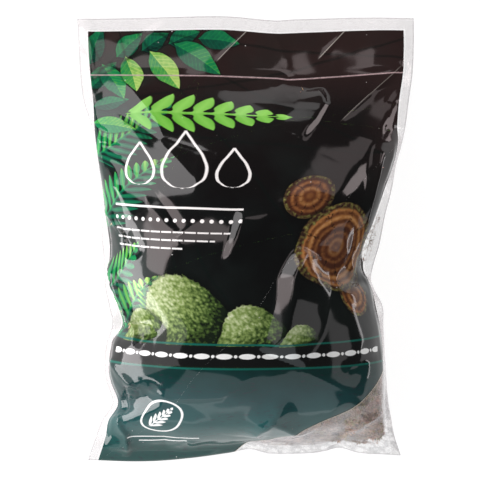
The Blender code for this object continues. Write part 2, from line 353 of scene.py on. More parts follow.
def simulated(flat, front, back):
    """The two sheets after the film has taken up its slack, from one mesh welded at its margins."""
    rows, columns = len(flat.y), len(flat.x)
    xs, ys = np.meshgrid(flat.x, flat.y)
    weld = (np.abs(xs) >= flat.width / 2 - MARGIN - 1e-6) \
        | (ys <= flat.fill_bottom_y) | (ys >= flat.weld_line_y)
    front_index = np.arange(rows * columns).reshape(rows, columns)
    back_index = front_index.copy()
    back_index[~weld] = rows * columns + np.arange(np.count_nonzero(~weld))
    start = np.concatenate([front.reshape(-1, 3), back[~weld]])
    rest = np.stack([xs, ys, np.zeros_like(xs)], -1)
    rest = np.concatenate([rest.reshape(-1, 3), rest[~weld]])
    faces = []
    for index, flip in ((front_index, False), (back_index, True)):
        quads = np.stack([index[:-1, :-1], index[:-1, 1:], index[1:, 1:], index[1:, :-1]], -1)
        if flip:
            inner = ~(weld[:-1, :-1] & weld[:-1, 1:] & weld[1:, 1:] & weld[1:, :-1])
            quads = quads[inner][:, ::-1]
        faces += quads.reshape(-1, 4).tolist()
    mesh = bpy.data.meshes.new("slack_film")
    mesh.from_pydata(start.tolist(), [], faces)
    film = bpy.data.objects.new("slack_film", mesh)
    bpy.context.scene.collection.objects.link(film)
    film.shape_key_add(name="laid")
    laid_flat = film.shape_key_add(name="flat")
    laid_flat.data.foreach_set("co", rest.astype(np.float32).ravel())
    laid_flat.value = 0.0
    cloth = film.modifiers.new("slack", "CLOTH")
    film_feel = cloth.settings
    film_feel.quality = 6
    film_feel.mass = 0.3
    film_feel.tension_stiffness = film_feel.compression_stiffness = 60
    film_feel.shear_stiffness = 30
    film_feel.bending_stiffness = 0.6
    film_feel.tension_damping = film_feel.compression_damping = film_feel.shear_damping = 20
    film_feel.bending_damping = 2
    film_feel.air_damping = 4
    film_feel.use_pressure = True
    film_feel.uniform_pressure_force = 4.0
    film_feel.rest_shape_key = laid_flat
    film_feel.effector_weights.gravity = 0.0
    cloth.collision_settings.use_collision = False
    scene = bpy.context.scene
    frames = 12
    scene.frame_start, scene.frame_end = 1, frames
    cloth.point_cache.frame_start, cloth.point_cache.frame_end = 1, frames
    for number in range(1, frames + 1):
        scene.frame_set(number)
    settled = film.evaluated_get(bpy.context.evaluated_depsgraph_get()).to_mesh()
    points = np.empty(len(settled.vertices) * 3, np.float32)
    settled.vertices.foreach_get("co", points)
    points = points.reshape(-1, 3).astype(float)
    bpy.data.objects.remove(film, do_unlink=True)
    bpy.data.meshes.remove(mesh)
    scene.frame_set(1)
    return points[front_index], points[back_index]


def finer(grid):
    """A grid with a point set between each two, on a smooth curve through its neighbours."""
    for axis in (0, 1):
        padded = np.concatenate([
            2 * grid.take([0], axis) - grid.take([1], axis),
            grid,
            2 * grid.take([-1], axis) - grid.take([-2], axis),
        ], axis)
        count = grid.shape[axis]
        near = [padded.take(range(i, i + count - 1), axis) for i in range(4)]
        between_points = (9 * (near[1] + near[2]) - near[0] - near[3]) / 16
        shape = list(grid.shape)
        shape[axis] = 2 * count - 1
        woven = np.empty(shape)
        target = np.moveaxis(woven, axis, 0)
        target[0::2] = np.moveaxis(grid, axis, 0)
        target[1::2] = np.moveaxis(between_points, axis, 0)
        grid = woven
    return grid


def soft_noise(x, y, scale, seed):
    """Smooth noise from -1 to 1 over a plane, with features about scale across."""
    lattice = np.random.RandomState(seed).uniform(-1, 1, (160, 160))
    x, y = x / scale + 80, y / scale + 20
    i, j = np.floor(x).astype(int), np.floor(y).astype(int)
    a, b = x - i, y - j
    a, b = a * a * (3 - 2 * a), b * b * (3 - 2 * b)
    low = lattice[i, j] * (1 - a) + lattice[i + 1, j] * a
    high = lattice[i, j + 1] * (1 - a) + lattice[i + 1, j + 1] * a
    return low * (1 - b) + high * b


def facet_noise(x, y, scale, seed):
    """Flat facets that meet in straight creases, from about -1 to 1, about scale across."""
    random = np.random.RandomState(seed)
    total = np.zeros_like(x)
    waves = 6
    for wave in range(waves):
        turn = math.pi * (wave + random.uniform(0.1, 0.9)) / waves
        run = (x * math.cos(turn) + y * math.sin(turn)) / (scale * random.uniform(1.5, 2.6))
        run = run + 0.25 * soft_noise(x, y, scale * 3, seed + wave) + random.uniform(0, 1)
        teeth = np.abs(run - np.floor(run) - 0.5) * 4 - 1
        total += teeth * soft_noise(x, y, scale * 2.4, seed + waves + wave)
    return total / 2


def crease_height(x, y, points, left, right, straight=False):
    """A ridge along a bent line, 1 at its top, hollow or straight down to its width on each side."""
    nearest = np.full_like(x, 1e9)
    height = np.zeros_like(x)
    runs = len(points) - 1
    for number, (start, end) in enumerate(zip(points[:-1], points[1:])):
        distance, along = near_line(x, y, start, end)
        place = (number + np.clip(along, 0, 1)) / runs
        taper = np.clip(np.minimum(place, 1 - place) * 6, 0, 1) ** 0.5
        closer = np.abs(distance) < nearest
        nearest = np.where(closer, np.abs(distance), nearest)
        width = np.where(distance > 0, left, right)
        down = np.abs(distance) / width
        flank = np.clip(1 - down, 0, 1) if straight else np.exp(-down)
        height = np.where(closer, flank * taper, height)
    return height


def crinkled(x, y, sizes, seed):
    """Height of the crinkles and lumps over the flat sheet, in metres."""
    random = np.random.RandomState(seed)
    total = sizes.lump * soft_noise(x, y, 38.0, seed)
    total += sizes.facet * facet_noise(x, y, 36.0, seed + 40)
    foot = np.clip((46 - y) / 30, 0, 1)
    total += sizes.facet * (0.03 + 0.22 * foot) * facet_noise(x, y, 13.0, seed + 80)
    total += sizes.crinkle * soft_noise(x, y, 8.0, seed + 3)
    for _ in range(16):
        middle = np.array([random.uniform(-110, 110), random.uniform(10, 385)])
        turn, reach = random.uniform(0, math.pi), random.uniform(8, 30)
        arm = np.array([math.cos(turn), math.sin(turn)]) * reach
        lift = random.uniform(-0.3, 0.3) * MM
        total += lift * crease_height(x, y, (middle - arm, middle + arm), 2.5, 2.5)
    for side in (-1, 1):
        place = 20.0
        place += 90.0 if side < 0 else 0.0
        while place < 340:
            lean, reach = random.uniform(-9, 9), random.uniform(8, 30)
            line = ((side * 117, place), (side * (117 - reach), place + lean))
            lift = random.uniform(-0.9, 0.9) * MM * (side < 0 or abs(place - 225) > 60)
            total += lift * crease_height(x, y, line, random.uniform(2, 6), random.uniform(2, 6))
            place += random.uniform(13, 32)
    for _ in range(10):
        place, reach = random.uniform(-105, 105), random.uniform(10, 30)
        line = ((place, 6.0), (place + random.uniform(-10, 10), 6.0 + reach))
        lift = random.uniform(-0.9, 0.9) * MM
        total += lift * crease_height(x, y, line, random.uniform(2, 6), random.uniform(2, 6))
    return total


def eased(field, rounds=4):
    """A grid of values without the ripples that are as small as its cells."""
    for _ in range(rounds):
        for axis in (0, 1):
            count = field.shape[axis]
            padded = np.concatenate([field.take([0], axis), field, field.take([-1], axis)], axis)
            field = (padded.take(range(count), axis) + 2 * field
                     + padded.take(range(2, count + 2), axis)) / 4
    return field


def header_shift(x, y, flat):
    """How far the waves of the header move the film along the pouch."""
    top = np.clip((y - flat.weld_line_y) / (flat.length - flat.weld_line_y), 0, 1)
    fade = np.clip((y - flat.weld_line_y + WAVE_FADE) / WAVE_FADE, 0, 1)
    fade = fade * fade * (3 - 2 * fade)
    welded = between(HEADER_WAVE, x / MM, 1) * fade
    return (welded * (1 - top) + between(HEADER_WAVE, x / MM, 2) * top) * MM


def normals_of(grid):
    """Unit normals of a grid of points."""
    across, along = np.gradient(grid, axis=1), np.gradient(grid, axis=0)
    normal = np.cross(across, along)
    return normal / np.linalg.norm(normal, axis=-1, keepdims=True)


class Sheets:
    """Both sheets as fine grids of points, kept for the operators that fill the pouch."""

    flat = None
    front = None
    back = None
    x = None
    y = None


def lay_sheets(sizes):
    """Works out where both sheets lie."""
    flat = FlatSheet(sizes.flat_width)
    us, heights = np.meshgrid(flat.u, flat.height)
    laid = [sheet_points(us, heights, True), sheet_points(us, heights, False)]
    laid[1][flat.y <= flat.fill_bottom_y] = laid[0][flat.y <= flat.fill_bottom_y]
    settled = simulated(flat, *laid)
    sheets = []
    loose = np.clip((flat.weld_line_y - flat.y) / (70 * MM), 0, 1)[:, None, None]
    xs, ys = np.meshgrid(flat.x, flat.y)
    fine_x, fine_y = finer(xs[..., None])[..., 0], finer(ys[..., None])[..., 0]
    weld = flat.width / 2 - MARGIN
    inside = np.clip((weld - np.abs(fine_x)) / (8 * MM), 0, 1) \
        * np.clip((fine_y - flat.fill_bottom_y) / (6 * MM), 0, 1) \
        * np.clip((flat.weld_line_y - fine_y) / (12 * MM), 0, 1)
    header = np.clip((fine_y - flat.weld_line_y) / (6 * MM), 0, 1)
    flap = header * np.clip((weld + 4 * MM - np.abs(fine_x)) / (8 * MM), 0, 1)
    places = fine_x / MM, fine_y / MM
    own = [crinkled(*places, sizes, 5), crinkled(*places, sizes, 23)]
    wave = sizes.lump * soft_noise(*places, 27.0, 14) + sizes.facet * facet_noise(*places, 46.0, 16)
    together = own[0] * 0.25 + wave * flap
    creases = sum(lift * MM * crease_height(*places, line, left, right, table is RIDGES)
                  for table in (CREASES, RIDGES) for line, lift, left, right in table)
    for start, moved, side in zip(laid, settled, (1, -1)):
        shift = moved - start
        far = np.linalg.norm(shift, axis=-1, keepdims=True)
        held = sizes.slack_reach * np.tanh(far / sizes.slack_reach) / np.maximum(far, 1e-9)
        grid = finer(start + eased(shift * held * loose))
        if side > 0:
            heights = inside * (own[0] + creases) + (1 - inside) * (together + creases)
        else:
            heights = (1 - inside) * (together + creases) - inside * own[1]
        grid = grid + normals_of(grid) * heights[..., None]
        grid = grid + normals_of(grid) * (side * sizes.weld_gap / 2)
        grid[..., 1] += header_shift(fine_x, fine_y, flat)
        sheets.append(grid)
    sheets[1][..., 2] = np.maximum(sizes.film + 0.05 * MM, sheets[1][..., 2])
    Sheets.flat, Sheets.front, Sheets.back = flat, sheets[0], sheets[1]
    Sheets.x, Sheets.y = fine_x, fine_y


def grid_mesh(name, points, flip=False, flat_places=None):
    """A mesh of a grid of points, with its place on the flat sheet as a UV map."""
    rows, columns = points.shape[:2]
    index = np.arange(rows * columns).reshape(rows, columns)
    quads = np.stack([index[:-1, :-1], index[:-1, 1:], index[1:, 1:], index[1:, :-1]], -1)
    quads = quads.reshape(-1, 4)
    if flip:
        quads = quads[:, ::-1]
    mesh = bpy.data.meshes.new(name)
    mesh.from_pydata(points.reshape(-1, 3).tolist(), [], quads.tolist())
    if flat_places is not None:
        layer = mesh.uv_layers.new(name="flat_pouch")
        loops = np.empty(len(mesh.loops), np.int32)
        mesh.loops.foreach_get("vertex_index", loops)
        layer.data.foreach_set("uv", flat_places.reshape(-1, 2)[loops].astype(np.float32).ravel())
    mesh.shade_smooth()
    return mesh


def add_object(name, mesh, material):
    piece = bpy.data.objects.new(name, mesh)
    bpy.context.scene.collection.objects.link(piece)
    mesh.materials.append(material)
    return piece


class Wire:
    """A socket of a material's node tree. Arithmetic on it adds Math nodes."""

    def __init__(self, tree, socket):
        self.tree = tree
        self.socket = socket

    def node(self, kind, inputs=None, output=0, **settings):
        """Adds a node with its settings, then its inputs' values or links, and wraps an output."""
        node = self.tree.nodes.new(kind)
        for name, value in settings.items():
            if name == "stops":
                ramp = node.color_ramp.elements
                while len(ramp) < len(value):
                    ramp.new(1.0)
                for stop, (position, color) in zip(ramp, value):
                    stop.position = position
                    stop.color = (*color, 1.0)
            elif name == "points":
                node.mapping.extend = "HORIZONTAL"
                curve = node.mapping.curves[0]
                while len(curve.points) < len(value):
                    curve.points.new(0.5, 0.5)
                for point, place in zip(curve.points, value):
                    point.location = place
                node.mapping.update()
            else:
                setattr(node, name, value)
        for key, value in (inputs or {}).items():
            socket = node.inputs[key]
            if isinstance(value, Wire):
                self.tree.links.new(value.socket, socket)
            elif isinstance(value, tuple) and len(value) == 3 and socket.type == "RGBA":
                socket.default_value = (*value, 1.0)
            else:
                socket.default_value = value
        return Wire(self.tree, node.outputs[output])

    def math(self, operation, *others, clamp=False):
        operands = dict(enumerate((self, *others)))
        return self.node("ShaderNodeMath", operands, operation=operation, use_clamp=clamp)

    def __add__(self, other):
        return self.math("ADD", other)

    def __radd__(self, other):
        return self.math("ADD", other)

    def __sub__(self, other):
        return self.math("SUBTRACT", other)

    def __rsub__(self, other):
        return self.node("ShaderNodeMath", {0: other, 1: self}, operation="SUBTRACT")

    def __mul__(self, other):
        return self.math("MULTIPLY", other)

    def __rmul__(self, other):
        return self.math("MULTIPLY", other)

    def __truediv__(self, other):
        return self.math("DIVIDE", other)

    def __pow__(self, other):
        return self.math("POWER", other)

    def __neg__(self):
        return self.math("MULTIPLY", -1.0)

    def __abs__(self):
        return self.math("ABSOLUTE")

    def output(self, name):
        """Another output of the same node."""
        return Wire(self.tree, self.socket.node.outputs[name])

    def scaled(self, factor, shift, clamp=False):
        return self.math("MULTIPLY_ADD", factor, shift, clamp=clamp)

    def over(self, edge, soft):
        """0 below an edge and 1 above it, over a soft width."""
        if isinstance(edge, Wire):
            return (self - edge).over(0.0, soft)
        return self.scaled(1 / soft, 0.5 - edge / soft, clamp=True)

    def under(self, edge, soft):
        """1 below an edge and 0 above it, over a soft width."""
        if isinstance(edge, Wire):
            return (self - edge).under(0.0, soft)
        return self.scaled(-1 / soft, 0.5 + edge / soft, clamp=True)

    def curve(self, points):
        """Its value on a curve through points from 0 to 1."""
        return self.node("ShaderNodeFloatCurve", {"Value": self}, points=points)

    def either(self, other):
        return self.math("MAXIMUM", other)


def new_material(name):
    """A material with an empty tree, and a wire to start from."""
    material = bpy.data.materials.new(name)
    material.use_nodes = True
    tree = material.node_tree
    tree.nodes.clear()
    tree.nodes.new("ShaderNodeOutputMaterial")
    return material, Wire(tree, None)


def finish_material(wire, shader):
    output = next(n for n in wire.tree.nodes if n.type == "OUTPUT_MATERIAL")
    wire.tree.links.new(shader.socket, output.inputs["Surface"])


def mixed(wire, amount, low, high):
    """A colour between two others."""
    return wire.node("ShaderNodeMix", {0: amount, 6: low, 7: high}, output=2, data_type="RGBA")


def ink(red, green, blue):
    """A linear colour from its usual 0 to 255 values."""
    return tuple(((c / 255 + 0.055) / 1.055) ** 2.4 if c > 10 else c / 255 / 12.92
                 for c in (red, green, blue))


def own_axes(position, root, turn=0.0, scale=(1.0, 1.0)):
    """Places as a motif of the print sees them: along it, across it, and both as a vector."""
    local = position.node("ShaderNodeMapping", {
        "Vector": position, "Location": (*root, 0.0), "Rotation": (0.0, 0.0, math.radians(turn)),
        "Scale": (*scale, 1.0)}, vector_type="TEXTURE")
    along = position.node("ShaderNodeSeparateXYZ", {0: local})
    return along, along.output("Y"), local


FROND_REACH = ((0.0, 0.0), (0.05, 0.42), (0.3, 1.0), (0.62, 0.78), (0.9, 0.26), (1.0, 0.0))
LEAFLET = ((0.0, 0.6), (0.045, 0.6), (0.08, 0.3), (0.35, 0.47), (0.75, 0.3), (1.0, 0.0))
LEAF_HALF = ((0.0, 0.0), (0.03, 0.06), (0.25, 0.82), (0.45, 1.0), (0.75, 0.6), (1.0, 0.0))
DROP_HALF = ((0.0, 0.0), (0.06, 0.62), (0.28, 1.0), (0.5, 0.86), (0.8, 0.36), (1.0, 0.0))

# Fern fronds: root, direction in degrees, length, half width, bend and spacing of the leaflets
FERNS = (
    ((-119, 262), 30, 86, 22, 0.2, 7.5),
    ((-118, 200), 58, 92, 22, -0.26, 8.0),
    ((-118, 150), 34, 60, 18, 0.22, 7.0),
    ((-118, 112), 60, 82, 21, -0.3, 7.5),
    ((-70, 114), 86, 50, 15, 0.2, 6.2),
)

# Broad leaves: foot, direction in degrees, length, half width and how light
LEAVES = (
    ((-119, 330), 48, 34, 8.0, 0.12),
    ((-119, 296), -8, 40, 8.5, 0.42),
    ((-118, 312), 14, 32, 7.0, 0.1),
    ((-117, 352), 70, 32, 8.0, 0.1),
    ((-108, 354), -64, 38, 9.0, 0.3),
    ((-97, 358), 42, 28, 7.5, 0.2),
    ((-90, 360), -76, 34, 8.5, 0.6),
    ((-78, 363), 32, 25, 7.0, 0.06),
    ((-72, 364), -56, 40, 9.5, 0.62),
    ((-58, 368), 20, 26, 7.0, 0.1),
    ((-54, 369), -34, 42, 9.5, 0.26),
    ((-36, 372), -6, 32, 7.5, 0.14),
)

GREENS = (
    (0.08, ink(8, 46, 40)), (0.36, ink(14, 92, 66)), (0.62, ink(26, 134, 74)),
    (0.82, ink(96, 168, 70)), (1.0, ink(176, 208, 112)))

# Fine light lines where the ink has cracked: start, direction in degrees, length and strength
CRACKS = (
    ((6.3, 384.0), -134.8, 40.0, 0.62),
    ((79.0, 384.0), -135.1, 35.5, 0.66),
    ((115.5, 350.0), -132.4, 68.0, 0.3),
)


def frond(position, root, turn, length, width, bend, pitch, slant=0.9):
    """A fern frond on the print: its mask, and how light its leaflets are from 0 to 1."""
    along, side, _ = own_axes(position, root, turn, (length, 1.0))
    aside = (along * along).math("MULTIPLY_ADD", -bend * length, side)
    off = abs(aside)
    place = off.math("MULTIPLY_ADD", -slant / pitch, along * (length / pitch))
    edge = place.math("PINGPONG", 0.5)
    out = off / along.curve(FROND_REACH).scaled(width, 0.01)
    blade = (out.curve(LEAFLET) + edge).over(0.55, 0.07)
    lit = edge.math("MULTIPLY_ADD", 0.7, along.scaled(0.3, 0.0)) + aside.over(0.0, 1.2) * 0.28
    return blade, lit


def broad_leaf(position, foot, turn, length, width):
    """A broad leaf on the print: how far inside it is in millimetres, and how light it is."""
    along, side, _ = own_axes(position, foot, turn, (length, 1.0))
    aside = along.math("PINGPONG", 0.5).math("MULTIPLY_ADD", -0.22 * width, side)
    off = abs(aside)
    inside = along.curve(LEAF_HALF) * width - off
    veins = off.math("MULTIPLY_ADD", -0.24, along * (length / 3.4)).math("PINGPONG", 0.5)
    lit = aside.over(0.0, 1.0) * 0.22 + veins.over(0.42, 0.1) * 0.12
    return inside, (lit + off.under(0.3, 0.3) * 0.16) + along * 0.16


def leaves_and_ferns(wire, position, color, smoke, grain):
    for root, turn, reach, width, bend, pitch in FERNS:
        mask, lit = frond(position, root, turn, reach, width, bend, pitch)
        tone = wire.node(
            "ShaderNodeValToRGB", {0: smoke.math("MULTIPLY_ADD", 0.9, lit - 0.45)}, stops=GREENS)
        color = mixed(wire, mask, color, tone)
    for foot, turn, reach, width, light in LEAVES:
        inside, lit = broad_leaf(position, foot, turn, reach, width)
        color = mixed(wire, inside.over(-0.6, 2.0) * 0.7, color, ink(6, 16, 14))
        tone = wire.node("ShaderNodeValToRGB", {
            0: grain.math("MULTIPLY_ADD", 0.25, lit + (light - 0.12))}, stops=GREENS)
        color = mixed(wire, inside.over(0.4, 0.6), color, tone)
    return color


def sawn_round(wire, position, middle, radius, turn, color, smoke, grain):
    """A sawn round of wood: uneven rings, fine cracks, and bark with a little green on it."""
    along, side, local = own_axes(position, middle, turn, (radius, radius * 0.92))
    far = position.node("ShaderNodeVectorMath", {0: local}, output="Value", operation="LENGTH")
    place = smoke.math("MULTIPLY_ADD", 0.34, far - 0.17)
    rings = (grain + place * (radius * 1.05)).math("SINE")
    late = (place * (radius * 0.3)).math("SINE")
    grown = rings.math("MULTIPLY_ADD", 0.2, late.math("MULTIPLY_ADD", 0.17, grain * 0.5)) + 0.2
    wood = wire.node("ShaderNodeValToRGB", {0: grown}, stops=(
        (0.2, ink(72, 40, 26)), (0.45, ink(122, 76, 44)), (0.7, ink(172, 118, 66)),
        (0.95, ink(206, 158, 104))))
    wood = mixed(wire, place.under(0.45, 0.6) * 0.6, wood, ink(88, 46, 28))
    angle = side.math("ARCTAN2", along)
    spokes = angle.math("MULTIPLY_ADD", 9.0, grain * 5.0).math("SINE").over(0.985, 0.02)
    wood = mixed(wire, spokes * place.over(0.3, 0.2), wood, ink(30, 18, 12))
    bark = wire.node("ShaderNodeValToRGB", {0: grain}, stops=(
        (0.3, ink(26, 18, 15)), (0.47, ink(70, 50, 36)), (0.6, ink(104, 98, 52)),
        (0.8, ink(150, 150, 84))))
    wood = mixed(wire, grain.math("MULTIPLY_ADD", 0.14, place).over(0.94, 0.04), wood, bark)
    light = (side - along).scaled(0.3, 0.62, clamp=True)
    wood = mixed(wire, light, mixed(wire, 0.5, wood, ink(20, 12, 9)), wood)
    color = mixed(wire, place.under(1.05, 0.16) * 0.8, color, ink(4, 4, 4))
    return mixed(wire, place.under(1.0, 0.03), color, wood)


def moss_mounds(wire, position, color, grain):
    """A row of pale cushions standing on the band."""
    tufts = wire.node("ShaderNodeTexVoronoi", {"Vector": position, "Scale": 0.42}, output="Distance")
    for middle, half, high in ((-44, 37, 56), (2, 24, 34), (-82, 22, 28), (34, 15, 19)):
        across, up, local = own_axes(position, (middle, 116.0), 0.0, (half, high))
        far = wire.node("ShaderNodeVectorMath", {0: local}, output="Value", operation="LENGTH")
        dome = grain.math("MULTIPLY_ADD", 0.12, far)
        light = grain.math("MULTIPLY_ADD", 0.6, up * 0.6) - across * 0.3 - tufts * 0.3
        tone = wire.node("ShaderNodeValToRGB", {0: light - dome.over(0.85, 0.3) * 0.14}, stops=(
            (0.12, ink(18, 28, 16)), (0.3, ink(62, 84, 38)), (0.5, ink(122, 144, 80)),
            (0.7, ink(176, 190, 140)), (0.9, ink(222, 224, 200))))
        color = mixed(wire, dome.under(1.12, 0.14) * 0.7, color, ink(5, 9, 7))
        color = mixed(wire, dome.under(1.06, 0.03), color, tone)
    return color


def ornaments(wire, position, x, y, color):
    """Plain white drops, beads and rules, and a small sprig in a ring."""
    white = ink(244, 244, 242)
    for foot, half, high in (((-76, 240), 12.0, 38.0), ((-42, 238), 16.0, 52.0),
                             ((-8, 240), 11.0, 34.0)):
        across, up, _ = own_axes(position, foot, 0.0, (half, high))
        rim = abs(abs(across) - up.curve(DROP_HALF)).under(12.0 * 0.085 / half, 0.05)
        color = mixed(wire, rim * up.over(-0.01, 0.02) * up.under(1.01, 0.02), color, white)
    beads = x.scaled(1 / 6.5, 0.0).math("PINGPONG", 0.5) * 6.5
    dot = (beads ** 2.0 + (y - 212.0) ** 2.0).under(2.2, 1.2)
    lines = abs(y - 222.0).under(0.85, 0.4).either(dot) * abs(x + 49.0).under(50.0, 0.4)
    dashes = x.scaled(1 / 9.0, 0.3).math("FRACT").over(0.12, 0.05)
    for line, end in ((203.0, -6.0), (197.0, -16.0), (191.0, -38.0)):
        bar = abs(y - line).under(0.6, 0.4) * abs(x + (49.0 - end / 2)).under(49.0 + end / 2, 0.4)
        lines = lines.either(bar * dashes * 0.9)
    color = mixed(wire, lines, color, white)
    _, _, local = own_axes(position, (-66, 58), 0.0, (18.0, 18.0))
    ring = wire.node("ShaderNodeVectorMath", {0: local}, output="Value", operation="LENGTH")
    sprig = frond(position, (-75, 48), 50, 27, 8.0, 0.0, 4.6)[0]
    for line, half in ((31.0, 30.0), (25.0, 20.0)):
        sprig = sprig.either(abs(y - line).under(0.7, 0.4) * abs(x + 66.0).under(half, 0.4))
    return mixed(wire, abs(ring - 0.94).under(0.05, 0.03).either(sprig), color, white)


def lower_print(wire, x, y, color, smoke):
    """The dark band, its lines and beads, and the teal field below it."""
    teal = wire.node("ShaderNodeValToRGB", {0: y / 104.0 + (smoke - 0.5) * 0.5}, stops=(
        (0.1, ink(28, 70, 66)), (0.45, ink(34, 78, 78)), (0.75, ink(26, 62, 64)),
        (0.96, ink(14, 46, 44))))
    stretched = wire.node("ShaderNodeCombineXYZ", {0: x * 0.35, 1: y})
    flecks = wire.node("ShaderNodeTexNoise", {"Vector": stretched, "Scale": 0.5, "Detail": 1.0})
    faded = flecks.over(0.63, 0.06) * smoke.over(0.45, 0.1) * 0.4
    teal = mixed(wire, faded, teal, ink(44, 40, 52))
    color = mixed(wire, y.under(103.4, 0.5), color, teal)
    edge_lines = abs(abs(y - 111.5) - 8.9).under(0.7, 0.5)
    color = mixed(wire, edge_lines, color, ink(18, 92, 80))
    color = mixed(wire, abs(y - 111.7).under(7.5, 0.5), color, ink(15, 17, 17))
    along = x.scaled(1 / 15.0, 0.5).math("PINGPONG", 0.5) * 15.0
    up = (y - 111.7) ** 2.0
    bead = ((along - 7.5) ** 2.0 / 7.3 + up).under(4.0, 1.2)
    pip = (along ** 2.0 + up).under(1.3, 0.9)
    beads = bead.either(pip) * abs(x).under(108.0, 0.5)
    return mixed(wire, beads, color, ink(236, 238, 236))


def print_color(wire, position, x, y, length, smoke, grain):
    """The colour of the print all over the front, in millimetres on the flat sheet."""
    color = wire.node(
        "ShaderNodeValToRGB", {0: y / length}, stops=(
            (0.27, ink(10, 15, 14)), (0.55, ink(9, 9, 10)), (0.8, ink(20, 15, 15)),
            (0.9, ink(41, 29, 28)), (1.0, ink(45, 32, 30))))
    color = mixed(wire, smoke.over(0.62, 0.35) * 0.35, color, ink(30, 40, 38))
    color = mixed(wire, x.over(100.0, 34.0) * y.over(250.0, 60.0) * 0.8, color, ink(44, 31, 30))
    leafy_side = x.under(-80.0, 60.0) * smoke.over(0.5, 0.3)
    color = mixed(wire, leafy_side * 0.6, color, ink(14, 58, 50))
    color = leaves_and_ferns(wire, position, color, smoke, grain)
    sprig, lit = frond(position, (-90, 306), 4, 124, 19, -0.1, 15.5, slant=0.75)
    color = mixed(wire, sprig, color, mixed(wire, lit, ink(84, 168, 44), ink(150, 214, 104)))
    for middle, radius, turn in (((46, 232), 19.0, 20), ((88, 153), 16.0, 130),
                                 ((76, 190), 36.0, 0)):
        color = sawn_round(wire, position, middle, radius, turn, color, smoke, grain)
    color = moss_mounds(wire, position, color, grain)
    color = lower_print(wire, x, y, color, smoke)
    return ornaments(wire, position, x, y, color)


def clear_film(wire, haze, fused, wrinkle_shade, sealed):
    """Clear film: what is behind it shows, with some milk and a mirror gloss over it."""
    facing = wire.node("ShaderNodeLayerWeight", {"Blend": 0.5}, output="Facing")
    gloss = fused.math("MULTIPLY_ADD", -0.022, facing ** 5.0 * 0.94 + 0.034)
    through = wire.node("ShaderNodeBsdfTransparent", {"Color": (0.985, 0.985, 0.985)})
    # The milk is painted darker where the film is seen edge-on, in its wrinkles and along its cut edges:
    # painted shade. Over the seal it is a little darker too.
    steep = facing.over(0.7, 0.6) * 0.4
    shade = mixed(wire, sealed.math("MULTIPLY_ADD", 0.25, steep + wrinkle_shade),
                  (0.8, 0.73, 0.74), (0.42, 0.4, 0.41))
    milk = wire.node("ShaderNodeBsdfPrincipled", {
        "Base Color": shade, "Roughness": 0.5, "Metallic": 0.0})
    mirror = wire.node("ShaderNodeBsdfPrincipled", {
        "Base Color": (0.97, 0.95, 0.96), "Roughness": 0.09, "Metallic": 1.0})
    hazy = wire.node("ShaderNodeMixShader", {
        0: steep + haze + wrinkle_shade * 0.2, 1: through, 2: milk})
    return wire.node("ShaderNodeMixShader", {0: gloss, 1: hazy, 2: mirror})


def flat_places(wire, flat_width, length):
    """The place on the flat sheet in millimetres, from its middle line and its bottom edge."""
    uv = wire.node("ShaderNodeUVMap", uv_map="flat_pouch")
    u = wire.node("ShaderNodeSeparateXYZ", {0: uv})
    return u.scaled(flat_width / MM, -flat_width / MM / 2), u.output("Y") * (length / MM)


def welded_place(x, y, flat):
    """1 where the two sheets are fused along their edges."""
    ends = y.over(flat.weld_line_y / MM, 0.6).either(y.under(flat.fill_bottom_y / MM, 0.6))
    return abs(x).over(116.0, 0.6).either(ends)


def film_seal(x, y, length):
    """1 in the pressed seal along the edges, which a clear strip parts from the print."""
    return abs(x).over(118.4, 0.4).either(y.over(length - 8.4, 0.4))


def film_wrinkle_shade(wire, x, y, length):
    """Painted shade on the clear film: darker in fine wrinkles and along its cut edges."""
    position = wire.node("ShaderNodeCombineXYZ", {0: x, 1: y})
    folds = wire.node("ShaderNodeTexNoise", {"Vector": position, "Scale": 0.07, "Detail": 4.0})
    wrinkles = abs(folds - 0.5)
    cut = abs(x).over(124.3, 0.3).either(y.over(length - 0.7, 0.3)).either(y.under(0.7, 0.3))
    return wrinkles.under(0.012, 0.024) * 0.05 + cut * 0.5, wrinkles


def window_edge(wire, x):
    """Height of the print's curved lower right edge above the bottom of the flat sheet."""
    bulge = ((x + 5.0) / 85.0 * math.pi).math("SINE")
    return 2.6 + (x + 5.0) * 0.78 + bulge * x.under(80.0, 20.0) * 6.0


